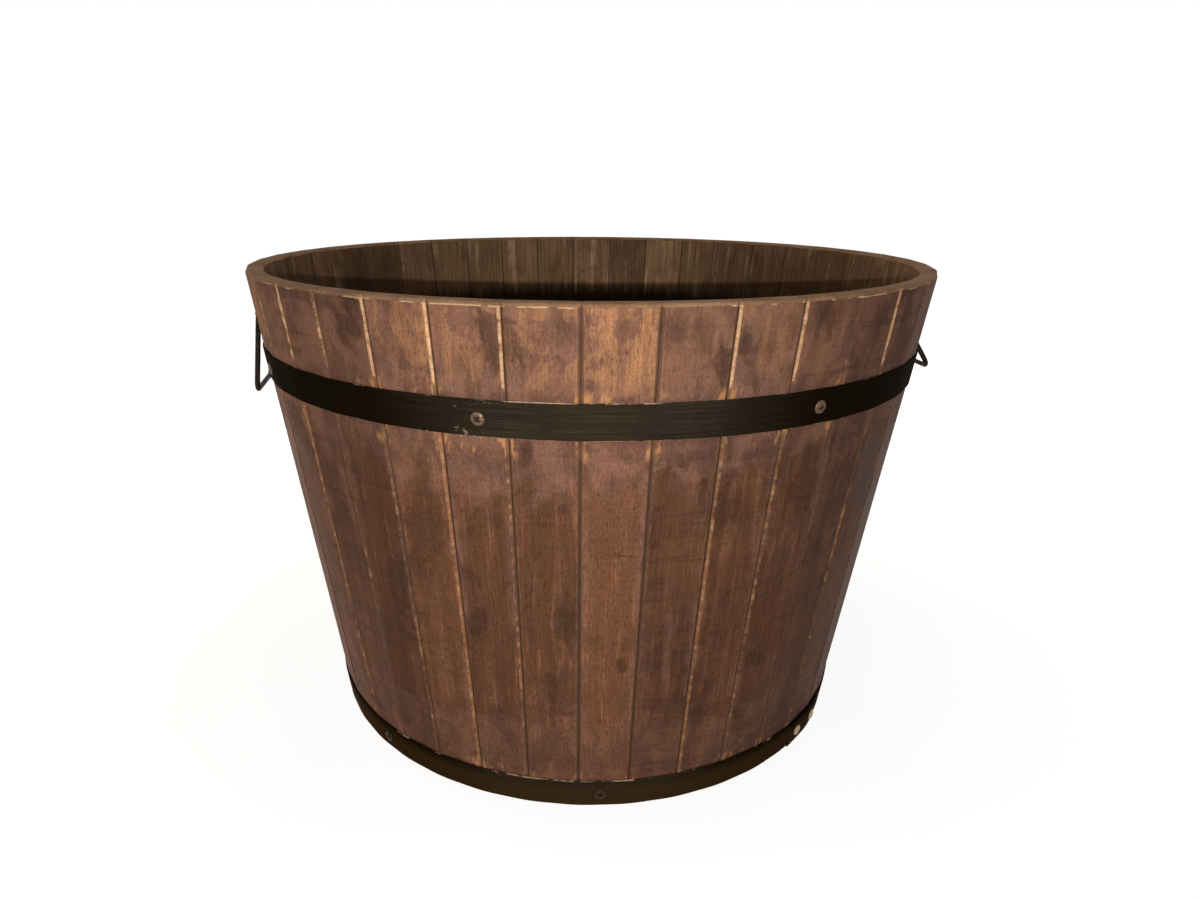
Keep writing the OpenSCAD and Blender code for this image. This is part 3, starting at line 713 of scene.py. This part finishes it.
def black_paint():
    """Black paint brushed along the strap, thin at the edges and chipped in places."""
    material, n, principled = shader("black_hoop_paint")
    place = n.place()
    along = n.read("along")
    rise = n.read("rise")
    strap = n.point(along, rise)
    brush = n.noise(strap, (14, 1100, 1), 4, 0.6)
    cloud = n.noise(strap, (9, 60, 1), 3, 0.6)
    speck = n.noise(place, 330, 3, 0.7)
    chip = n.noise(place, 150, 4, 0.75)
    x, y, up = n.xyz(place)
    round_tub = n.math("ARCTAN2", y, x)
    from_front = n.math("ABSOLUTE", n.minus(round_tub, FRONT_TURN))
    # Painted highlight: the lighter brush streaks show mostly at the tub's front and fade to the sides,
    # standing in for the lamp's sheen on the paint.
    painted_front_highlight = n.fade(n.plus(from_front, n.times(cloud, 0.3)), 0.3, 0.7, 1.0, 0.12)
    streaks_with_highlight = n.times(n.fade(brush, 0.46, 0.62), painted_front_highlight)
    colour = n.mix(streaks_with_highlight, HOOP.black, HOOP.rubbed)
    colour = n.mix(n.times(n.fade(cloud, 0.5, 0.66), 0.5), colour, HOOP.cloud)
    muddy = n.times(n.fade(up, 0.03, 0.015, 0.0, 0.7), n.fade(from_front, 1.1, 1.7, 1.0, 0.2))
    colour = n.mix(muddy, colour, HOOP.mud)
    # The edges are rubbed to bare metal in runs, most of all at the front, where a few chips are.
    from_edge = n.minus(0.5, n.math("ABSOLUTE", rise))
    edge_line = n.fade(from_edge, 0.028, 0.012)
    front = n.times(n.band(round_tub, -1.93, -1.52, 0.03), 0.12)
    rubbed = n.fade(n.plus(n.noise(strap, (26, 3, 1), 5, 0.75), front), 0.56, 0.63)
    edge_line = n.times(edge_line, rubbed, n.fade(speck, 0.3, 0.48))
    colour = n.mix(n.times(edge_line, 0.9), colour, HOOP.edge)
    group = n.plus(n.noise(strap, (11, 22, 1), 2), n.times(n.band(round_tub, -1.975, -1.905, 0.012), 0.25))
    group = n.fade(group, 0.63, 0.7)
    flakes = n.times(n.fade(chip, 0.58, 0.62), group, n.fade(from_edge, 0.3, 0.02))
    dots = n.times(n.fade(speck, 0.75, 0.78), 0.8)
    bare = n.larger(flakes, dots)
    colour = n.mix(bare, colour, HOOP.chip)
    rough = n.plus(n.fade(brush, 0.3, 0.7, 0.62, 0.46), n.times(cloud, 0.08))
    lay_on(n, principled, colour, rough, 0.001, brush, (0.5, 0.0003))
    return material


def strap_tree(material):
    """Sweeps a strap's section along a bent line, and keeps its length and height as attributes."""
    tree, n, given = modifier_tree("strap", Float=("Width", "Thickness", "Edge", "Bend", "Lean"))
    path = n.make("GeometryNodeMeshToCurve", {"Mesh": given["Geometry"]})
    path = n.make("GeometryNodeFilletCurve", {
        "Curve": path, "Count": 4, "Radius": given["Bend"], "Limit Radius": True}, mode="POLY")
    path = n.make("GeometryNodeSetCurveNormal", {"Curve": path}, mode="Z_UP")
    section = n.make("GeometryNodeCurvePrimitiveQuadrilateral", {
        "Width": given["Thickness"], "Height": given["Width"]})
    section = n.make("GeometryNodeFilletCurve", {
        "Curve": section, "Count": 3, "Radius": given["Edge"], "Limit Radius": True}, mode="POLY")
    section = n.make("GeometryNodeResampleCurve", {"Curve": section, "Length": STRAP_STEP}, mode="LENGTH")
    section_place = n.make("GeometryNodeInputPosition")
    section = n.store(section, "rise", n.math("DIVIDE", n.xyz(section_place)[1], given["Width"]))
    lean = n.point(0.0, 0.0, given["Lean"])
    section = n.make("GeometryNodeTransform", {"Geometry": section, "Rotation": lean})
    path = n.store(path, "along", n.add("GeometryNodeSplineParameter").outputs["Length"])
    swept = n.make("GeometryNodeCurveToMesh", {
        "Curve": path, "Profile Curve": section, "Fill Caps": True})
    smooth = n.make("GeometryNodeSetShadeSmooth", {"Geometry": swept})
    end_tree(n, smooth, material)
    return tree


def bent_line(name, points, closed):
    """A chain of points as a mesh of edges, for a sweep to follow."""
    mesh = bpy.data.meshes.new(name)
    count = len(points)
    edges = [(k, (k + 1) % count) for k in range(count if closed else count - 1)]
    mesh.from_pydata(points, edges, [])
    return mesh


def on_flat(stave_number, r, shift, z):
    """A point on a stave's flat: r from the axis, beside its middle line by the shift."""
    turn = 2 * HALF_ARC * stave_number
    return (r * math.cos(turn) - shift * math.sin(turn), r * math.sin(turn) + shift * math.cos(turn), z)


def strap_hoop(name, node, edges, lap_stave, lap_shift):
    """One hoop: the ring on the staves, and the strap's free end over it at the lap."""
    middle = sum(edges) / 2
    first_r = wall_r(middle) + (STRAP_GAP + STRAP_T / 2) / math.cos(TAPER)
    corner_r = first_r / math.cos(HALF_ARC)
    corners = [on_flat(i + 0.5, corner_r, 0.0, middle) for i in range(STAVES)]
    ring = bent_line("ring", corners, True)
    sizes = {"Width": STRAP_W, "Thickness": STRAP_T, "Edge": STRAP_EDGE, "Bend": STRAP_BEND, "Lean": TAPER}
    hoop = made_by(strap, name, ring, sizes)
    lap_r = first_r + (STRAP_T + LAP_GAP) / math.cos(TAPER)
    free_end = [on_flat(lap_stave, lap_r, lap_shift - LAP_END, middle),
                on_flat(lap_stave + 0.5, lap_r / math.cos(HALF_ARC), 0.0, middle),
                on_flat(lap_stave + 1, lap_r, LAP_SCREW + LAP_END, middle)]
    lap = made_by(strap, name + "_lap", bent_line("lap", free_end, False), sizes)
    both = bmesh.new()
    both.from_mesh(hoop.data)
    both.from_mesh(lap.data)
    bmesh.ops.recalc_face_normals(both, faces=both.faces)
    both.to_mesh(hoop.data)
    both.free()
    bpy.data.objects.remove(lap)
    hoop.data.set_sharp_from_angle(angle=STRAP_CREASE)
    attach(hoop, "tub")
    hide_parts(node)
    return hoop


UPPER_SCREWS = dict(first=-27, shift=0.005, lap=7)
LOWER_SCREWS = dict(first=-25, shift=-0.003, lap=4)
SCREW_STEP = 5
hoop_paint = black_paint()
strap = strap_tree(hoop_paint)
for name, edges, screws in (("upper_hoop", UPPER_HOOP, UPPER_SCREWS),
                            ("lower_hoop", LOWER_HOOP, LOWER_SCREWS)):
    lap_stave = screws["first"] + SCREW_STEP * screws["lap"]
    strap_hoop(name + "_strap", name, edges, lap_stave, screws["shift"])

# ---- Screws -------------------------------------------------------------------------------
# Pan head screws hold the hoops and the handle brackets. They were painted over with the
# steel: some are black still, and the others are worn to dull metal. Dirt fills the recess.
# The two on the lower hoop's lap are paler, partly rubbed and partly a painted highlight.
HEAD_R = 0.0053
HEAD_H = 0.0026
SHANK_R = 0.002
SCREW_L = 0.012
HEAD_SIDES = 32
HEAD_CREASE = math.radians(35)
DOME_LOW = 0.25                         # where the head's dome begins, as a share of its height
DOME_ANGLES = (12, 26, 40, 54, 66, 77, 86)
RECESS_L = 0.0064                       # the cross recess: across its arms, an arm's width, depth
RECESS_W = 0.0015
RECESS_DEPTH = 0.0015
RECESS_FLARE = ((-RECESS_DEPTH, 0.72), (0.002, 1.35))  # height above the head's top, and width
RECESS_REACH = 0.8                      # the share of the head's radius that it stays within
SQUARE = ((-1, -1), (1, -1), (1, 1), (-1, 1))
BOX_FACES = ((3, 2, 1, 0), (4, 5, 6, 7), (0, 1, 5, 4), (1, 2, 6, 5), (2, 3, 7, 6), (3, 0, 4, 7))
BRACKET_Z = 0.4
BRACKET_T = 0.0015
BRACKET_SCREW = 0.0105
LEFT_STAVE = 20
SCREWS_ROUND = 8
SCREW = SimpleNamespace(
    dull=(0.11, 0.068, 0.041), worn=(0.33, 0.215, 0.132), bright=(0.54, 0.41, 0.25),
    paint=(0.03, 0.018, 0.009))


def worn_screw():
    """Worn zinc, with black paint left in the recess and round the head's foot."""
    material, n, principled = shader("worn_screw")
    place = n.place()
    height = n.read("height")
    sunk = n.read("sunk")
    rub = n.noise(place, 700, 3, 0.65)
    colour = n.mix(n.fade(rub, 0.35, 0.65), SCREW.dull, SCREW.worn)
    edges = n.plus(n.fade(height, 0.5, 0.2), n.fade(rub, 0.54, 0.64), clamp=True)
    dirt = n.fade(n.plus(height, n.times(rub, 0.06)), 0.93, 0.99, 0.0, 0.6)
    paint = n.read("paint")
    # Painted highlight: a paint below 0 turns the head to a paler metal, partly rubbed and partly standing
    # in for the light it catches.
    colour = n.mix(n.fade(paint, 0.0, -1.0), colour, SCREW.bright)
    painted = n.larger(edges, n.fade(sunk, 0.05, 0.35), dirt, paint)
    painted = n.times(painted, n.fade(paint, 0.0, -1.0, 0.92, 0.2))
    colour = n.mix(painted, colour, SCREW.paint)
    metal = n.times(n.minus(1.0, painted), 0.35)
    n.tree.links.new(metal, principled.inputs["Metallic"])
    lay_on(n, principled, colour, n.fade(rub, 0.3, 0.7, 0.28, 0.48), 0.07)
    return material


def dome_z(rise):
    """Height of the head's face; rise is 0 at the foot of its dome and 1 in the middle."""
    return HEAD_H * (DOME_LOW + (1 - DOME_LOW) * rise)


def screw_template():
    """One screw along +Z: a domed head with a tapered cross recess, and a plain shank."""
    shape = bmesh.new()
    rings = []
    outline = [(0.0, HEAD_H)]
    outline += [(HEAD_R * math.sin(a), dome_z(math.cos(a))) for a in map(math.radians, DOME_ANGLES)]
    outline += [(HEAD_R, HEAD_H * 0.16), (HEAD_R * 0.985, 0.0), (SHANK_R, 0.0),
                (SHANK_R, -SCREW_L + 0.002), (SHANK_R * 0.3, -SCREW_L), (0.0, -SCREW_L)]
    for r, z in outline:
        turns = [2 * math.pi * k / HEAD_SIDES for k in range(HEAD_SIDES if r else 1)]
        rings.append([shape.verts.new((r * math.cos(a), r * math.sin(a), z)) for a in turns])
    for upper, lower in zip(rings, rings[1:]):
        for k in range(HEAD_SIDES):
            nxt = (k + 1) % HEAD_SIDES
            if len(upper) == 1:
                shape.faces.new((upper[0], lower[k], lower[nxt]))
            elif len(lower) == 1:
                shape.faces.new((upper[k], lower[0], upper[nxt]))
            else:
                shape.faces.new((upper[k], lower[k], lower[nxt], upper[nxt]))
    mesh = bpy.data.meshes.new("screw")
    shape.to_mesh(mesh)
    shape.free()
    screw = new_object("screw", mesh)
    cross = bmesh.new()
    for turn in (0, math.pi / 2):
        corners = [(x * RECESS_L / 2 * flare, y * RECESS_W / 2 * flare, HEAD_H + h)
                   for h, flare in RECESS_FLARE for x, y in SQUARE]
        made = [cross.verts.new(Matrix.Rotation(turn, 3, "Z") @ Vector(c)) for c in corners]
        for ring in BOX_FACES:
            cross.faces.new([made[k] for k in ring])
    cutter_mesh = bpy.data.meshes.new("cross")
    cross.to_mesh(cutter_mesh)
    cross.free()
    cutter = new_object("cross", cutter_mesh)
    cut = screw.modifiers.new("recess", "BOOLEAN")
    cut.operation = "DIFFERENCE"
    cut.object = cutter
    cut.solver = "EXACT"
    cut.use_self = True
    result = real_mesh(screw)
    bpy.data.objects.remove(cutter)
    mark(result, "height", [v.co.z / HEAD_H for v in result.vertices])
    sunk = []
    for vertex in result.vertices:
        reach = min(1.0, vertex.co.xy.length / HEAD_R)
        below = max(0.0, dome_z(math.sqrt(1 - reach ** 2)) - vertex.co.z)
        sunk.append(below / RECESS_DEPTH if reach < RECESS_REACH else 0.0)
    mark(result, "sunk", sunk)
    result.shade_smooth()
    result.set_sharp_from_angle(angle=HEAD_CREASE)
    return screw


def screw_tree(template, material):
    """Sets a screw on every point, along its direction, spun at random."""
    tree, n, given = modifier_tree("screws", Int=("Seed",), Float=("Spin",))
    facing = n.make("GeometryNodeInputNamedAttribute", {"Name": "facing"}, data_type="FLOAT_VECTOR")
    aim = n.make("FunctionNodeAlignRotationToVector", {"Vector": facing}, axis="Z")
    spin = n.add("FunctionNodeRandomValue", {"Seed": given["Seed"]}, data_type="FLOAT")
    spun = n.times(spin.outputs["Value"], given["Spin"])
    turn = n.make("FunctionNodeAxisAngleToRotation", {"Axis": (0, 0, 1), "Angle": spun})
    both = n.add("FunctionNodeRotateRotation", {"Rotation": aim, "Rotate By": turn}, rotation_space="LOCAL")
    source = n.add("GeometryNodeObjectInfo", {"Object": template}).outputs["Geometry"]
    points = n.make("GeometryNodeMeshToPoints", {"Mesh": given["Geometry"], "Radius": 0.001})
    placed = n.make("GeometryNodeInstanceOnPoints", {
        "Points": points, "Instance": source, "Rotation": both.outputs[0]})
    end_tree(n, placed, material)
    return tree


def on_stave(stave_number, z, shift, lift, down=0.0):
    """A point on a stave's face, and the face's outward direction."""
    turn = Matrix.Rotation(2 * HALF_ARC * stave_number, 3, "Z")
    out = Vector((math.cos(TAPER), 0, -math.sin(TAPER)))
    fall = Vector((-math.sin(TAPER), 0, -math.cos(TAPER)))
    spot = Vector((wall_r(z), shift, z)) + out * lift + fall * down
    return turn @ spot, turn @ out


def screw_points(name, spots, painted):
    """A point for each screw, its direction and paint: 1 is black, -1 is rubbed with painted highlight."""
    mesh = bpy.data.meshes.new(name)
    mesh.from_pydata([tuple(spot) for spot, out in spots], [], [])
    mark(mesh, "facing", [c for spot, out in spots for c in out], "FLOAT_VECTOR")
    mark(mesh, "paint", [painted.get(k, 0.0) for k in range(len(spots))])
    return mesh


def hoop_spots(edges, first, shift, lap):
    """Eight screws round a hoop and one more on its lap, whose heads sit a layer higher."""
    middle = sum(edges) / 2
    seat = STRAP_GAP + STRAP_T
    spots = [on_stave(first + SCREW_STEP * k, middle, shift, seat + (STRAP_T if k == lap else 0))
             for k in range(SCREWS_ROUND)]
    spots.append(on_stave(first + SCREW_STEP * lap + 1, middle, LAP_SCREW, seat + STRAP_T))
    return spots


def bracket_spots(stave_number):
    """Two screws, above and below the handle's bar."""
    return [on_stave(stave_number, BRACKET_Z, 0.0, STRAP_GAP + BRACKET_T, side * BRACKET_SCREW)
            for side in (-1, 1)]


template = screw_template()
screw_metal = worn_screw()
screws_tree = screw_tree(template, screw_metal)
for seed, (name, spots, painted) in enumerate((
        ("upper_hoop_screws", hoop_spots(UPPER_HOOP, **UPPER_SCREWS), {0: 1.0, 4: 0.3, 6: 1.0}),
        ("lower_hoop_screws", hoop_spots(LOWER_HOOP, **LOWER_SCREWS),
         {2: 1.0, 3: 0.95, 7: 1.0, 4: -1.0, 8: -1.0}),
        ("left_bracket_screws", bracket_spots(LEFT_STAVE), {0: 1.0, 1: 1.0}),
        ("right_bracket_screws", bracket_spots(0), {0: 1.0, 1: 1.0}))):
    points = screw_points(name, spots, painted)
    piece = made_by(screws_tree, name + "_set", points, {"Seed": seed + 4, "Spin": math.pi})
    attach(piece, "tub")
    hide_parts(name)
bpy.data.objects.remove(template)

# ---- Handles ------------------------------------------------------------------------------
# Each handle is a ring of 5 mm wire, bent to a trapezoid and painted black. Its top bar
# turns in a pressed bracket. The right one stands out from the wall, as photographed.
WIRE_R = 0.00249
EYE_W = 0.036
GRIP_W = 0.076
DROP = 0.07
EYE_BEND = 0.006
GRIP_BEND = 0.0065
WIRE_SIDES = 24
BEND_STEPS = 14
TILTS = {"left_handle": math.radians(4), "right_handle": math.radians(28)}
HANDLE_STAVES = {"left_handle": LEFT_STAVE, "right_handle": 0}
WIRE = SimpleNamespace(
    black=(0.012, 0.009, 0.007), grey=(0.034, 0.026, 0.021), rubbed=(0.11, 0.07, 0.045))


def black_wire():
    """Satin black paint on wire and brackets, rubbed brown where hands and steel meet."""
    material, n, principled = shader("black_wire_paint")
    place = n.place()
    mottle = n.noise(place, 260, 4, 0.65)
    rub = n.noise(place, 90, 3, 0.6)
    colour = n.mix(n.fade(mottle, 0.3, 0.7), WIRE.black, WIRE.grey)
    colour = n.mix(n.times(n.fade(rub, 0.56, 0.7), 0.55), colour, WIRE.rubbed)
    lay_on(n, principled, colour, n.fade(mottle, 0.3, 0.7, 0.34, 0.5), 0.08, mottle, (0.3, 0.0003))
    return material


def wire_tree(material):
    """Rounds a chain of corners and sweeps the wire's round section along it."""
    tree, n, given = modifier_tree("bent_wire", Float=("Wire radius",))
    bend = n.make("GeometryNodeInputNamedAttribute", {"Name": "bend"})
    path = n.make("GeometryNodeMeshToCurve", {"Mesh": given["Geometry"]})
    path = n.make("GeometryNodeFilletCurve", {
        "Curve": path, "Count": BEND_STEPS, "Radius": bend, "Limit Radius": True}, mode="POLY")
    section = n.make("GeometryNodeCurvePrimitiveCircle", {
        "Resolution": WIRE_SIDES, "Radius": given["Wire radius"]})
    swept = n.make("GeometryNodeCurveToMesh", {"Curve": path, "Profile Curve": section})
    smooth = n.make("GeometryNodeSetShadeSmooth", {"Geometry": swept})
    end_tree(n, smooth, material)
    return tree


def finish_cad(node, material):
    """A piece that keeps its CAD shape takes a material."""
    materials = frame["nodes"][node].data.materials
    materials.clear()
    materials.append(material)


wire_paint = black_wire()
bent_wire = wire_tree(wire_paint)
for joint in frame["joints"]:
    node = joint["child"]
    pivot = Vector(joint["pos_m"])
    turn = Matrix.Rotation(2 * HALF_ARC * HANDLE_STAVES[node], 3, "Z")
    tilt = TILTS[node]
    fall = turn @ Vector((math.sin(tilt), 0, -math.cos(tilt)))
    side = turn @ Vector((0, 1, 0))
    corners = [pivot + side * x + fall * y for x, y in (
        (-EYE_W / 2, 0), (EYE_W / 2, 0), (GRIP_W / 2, DROP), (-GRIP_W / 2, DROP))]
    chain = bent_line(node, corners, True)
    mark(chain, "bend", (EYE_BEND, EYE_BEND, GRIP_BEND, GRIP_BEND))
    handle = made_by(bent_wire, node + "_wire", chain, {"Wire radius": WIRE_R})
    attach(handle, node)
    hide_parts(node)
for node in ("left_bracket", "right_bracket"):
    finish_cad(node, wire_paint)

# ---- Floor of the tub ---------------------------------------------------------------------
# Five sawn boards in the staves' groove, drilled for drainage, on two battens screwed from
# below. They are rough, stained and weathered, and keep their CAD shape.


def sawn_wood(name, pale, dark, along_x):
    """Rough sawn board with its grain along x or y, saw marks across it and damp stains."""
    material, n, principled = shader(name)
    place = n.place()
    stretch = (9, 240, 240) if along_x else (240, 9, 240)
    grain = n.noise(place, stretch, 4, 0.6)
    fine = n.noise(place, tuple(5 * s for s in stretch), 3, 0.6)
    damp = n.noise(place, 16, 4, 0.6, 0.8)
    saw = n.noise(place, (900, 12, 12) if along_x else (12, 900, 12), 2, 0.5)
    colour = n.mix(n.fade(grain, 0.32, 0.68), dark, pale)
    colour = n.mix(n.times(n.fade(damp, 0.48, 0.64), 0.6), colour, tuple(0.45 * c for c in dark))
    colour = n.mix(n.times(n.fade(fine, 0.4, 0.65), 0.3), colour, (0.6, 0.55, 0.5), "MULTIPLY")
    relief = n.plus(n.times(grain, 0.8), n.times(saw, 0.6))
    lay_on(n, principled, colour, n.fade(damp, 0.4, 0.6, 0.75, 0.6), 0.08, relief, (0.4, 0.0006))
    return material


board_wood = sawn_wood("floor_board_wood", (0.2, 0.125, 0.075), (0.095, 0.058, 0.036), True)
batten_wood = sawn_wood("batten_wood", (0.24, 0.155, 0.095), (0.12, 0.075, 0.045), False)
floor_finish = {f"floor_board_{k + 1}": board_wood for k in range(5)}
floor_finish.update(left_batten=batten_wood, right_batten=batten_wood, floor_screws=screw_metal)
for node, material in floor_finish.items():
    finish_cad(node, material)

# ---- Studio -------------------------------------------------------------------------------
# A pale floor and a white surround. The main lamp is small and stands just under the camera,
# as the photograph's light does; weak, warm soft boxes stand behind the tub and over it.
KEY_WATTS = 2.85
KEY_SIZE = 0.006
KEY_DROP = 0.022
WORLD_FILL = 0.095
FLOOR_REACH = 30
SHADOW_FLOOR = 0.88                     # how white the floor is by itself beside the tub
BOX_SIZE = 0.6


def seen_only(n):
    """1 for what is seen directly, in gloss or through glass; 0 for light that falls."""
    ray = n.add("ShaderNodeLightPath").outputs
    return n.larger(ray["Is Camera Ray"], ray["Is Glossy Ray"], ray["Is Transmission Ray"])


world = bpy.data.worlds.new("studio")
bpy.context.scene.world = world
world.use_nodes = True
sky = Nodes(world.node_tree)
background = world.node_tree.nodes["Background"]
fill = tuple(WORLD_FILL * c for c in (1.0, 0.9, 0.76))
surround = sky.mix(seen_only(sky), fill, (1, 1, 1))
world.node_tree.links.new(surround, background.inputs["Color"])

floor_mesh = bpy.data.meshes.new("studio_floor")
floor_mesh.from_pydata([(x * FLOOR_REACH, y * FLOOR_REACH, 0) for x, y in SQUARE], [], [(0, 1, 2, 3)])
studio_floor = new_object("studio_floor", floor_mesh)
floor_material, n, principled = shader("studio_floor")
principled.inputs["Roughness"].default_value = 0.9
principled.inputs["Specular IOR Level"].default_value = 0.0
principled.inputs["Emission Color"].default_value = (1, 1, 1, 1)
# Seen from the camera the floor is white; close to the tub it is a little darker, so that the
# tub's shadow shows on it.
seen = seen_only(n)
white = n.fade(n.length(n.place()), 0.3, 0.95, SHADOW_FLOOR, 1.0)
n.tree.links.new(n.mix(seen, (0.7, 0.68, 0.65), (0.26, 0.25, 0.24)), principled.inputs["Base Color"])
n.tree.links.new(n.times(seen, white), principled.inputs["Emission Strength"])
floor_mesh.materials.append(floor_material)


def lamp(name, place, aim, watts, size, colour, shape="SQUARE"):
    """An area lamp at a place, facing the aim, which the camera doesn't see."""
    light = bpy.data.lights.new(name, "AREA")
    light.shape = shape
    light.size = size
    light.energy = watts
    light.color = colour
    holder = new_object(name, light)
    holder.location = place
    holder.rotation_euler = (Vector(aim) - Vector(place)).to_track_quat("-Z", "Y").to_euler()
    holder.visible_camera = False
    return holder


key_place = CAMERA_PLACE + Vector((0, 0, -KEY_DROP))
lamp("key", key_place, (0, -0.3, 0.25), KEY_WATTS, KEY_SIZE, (1.0, 0.98, 0.95), "DISK")
for name, place, watts, colour in (
        ("left_back_box", (-1.4, 0.9, 0.35), 15.0, (1.0, 0.84, 0.6)),
        ("right_back_box", (1.4, 1.35, 0.35), 10.0, (1.0, 0.86, 0.64)),
        ("back_box", (0.1, 2.1, 0.4), 9.0, (1.0, 0.9, 0.78)),
        ("top_box", (0.2, -0.2, 2.1), 4.0, (1.0, 0.95, 0.88))):
    box = lamp(name, place, (0, 0, 0.2), watts, BOX_SIZE, colour)
    box.visible_glossy = False
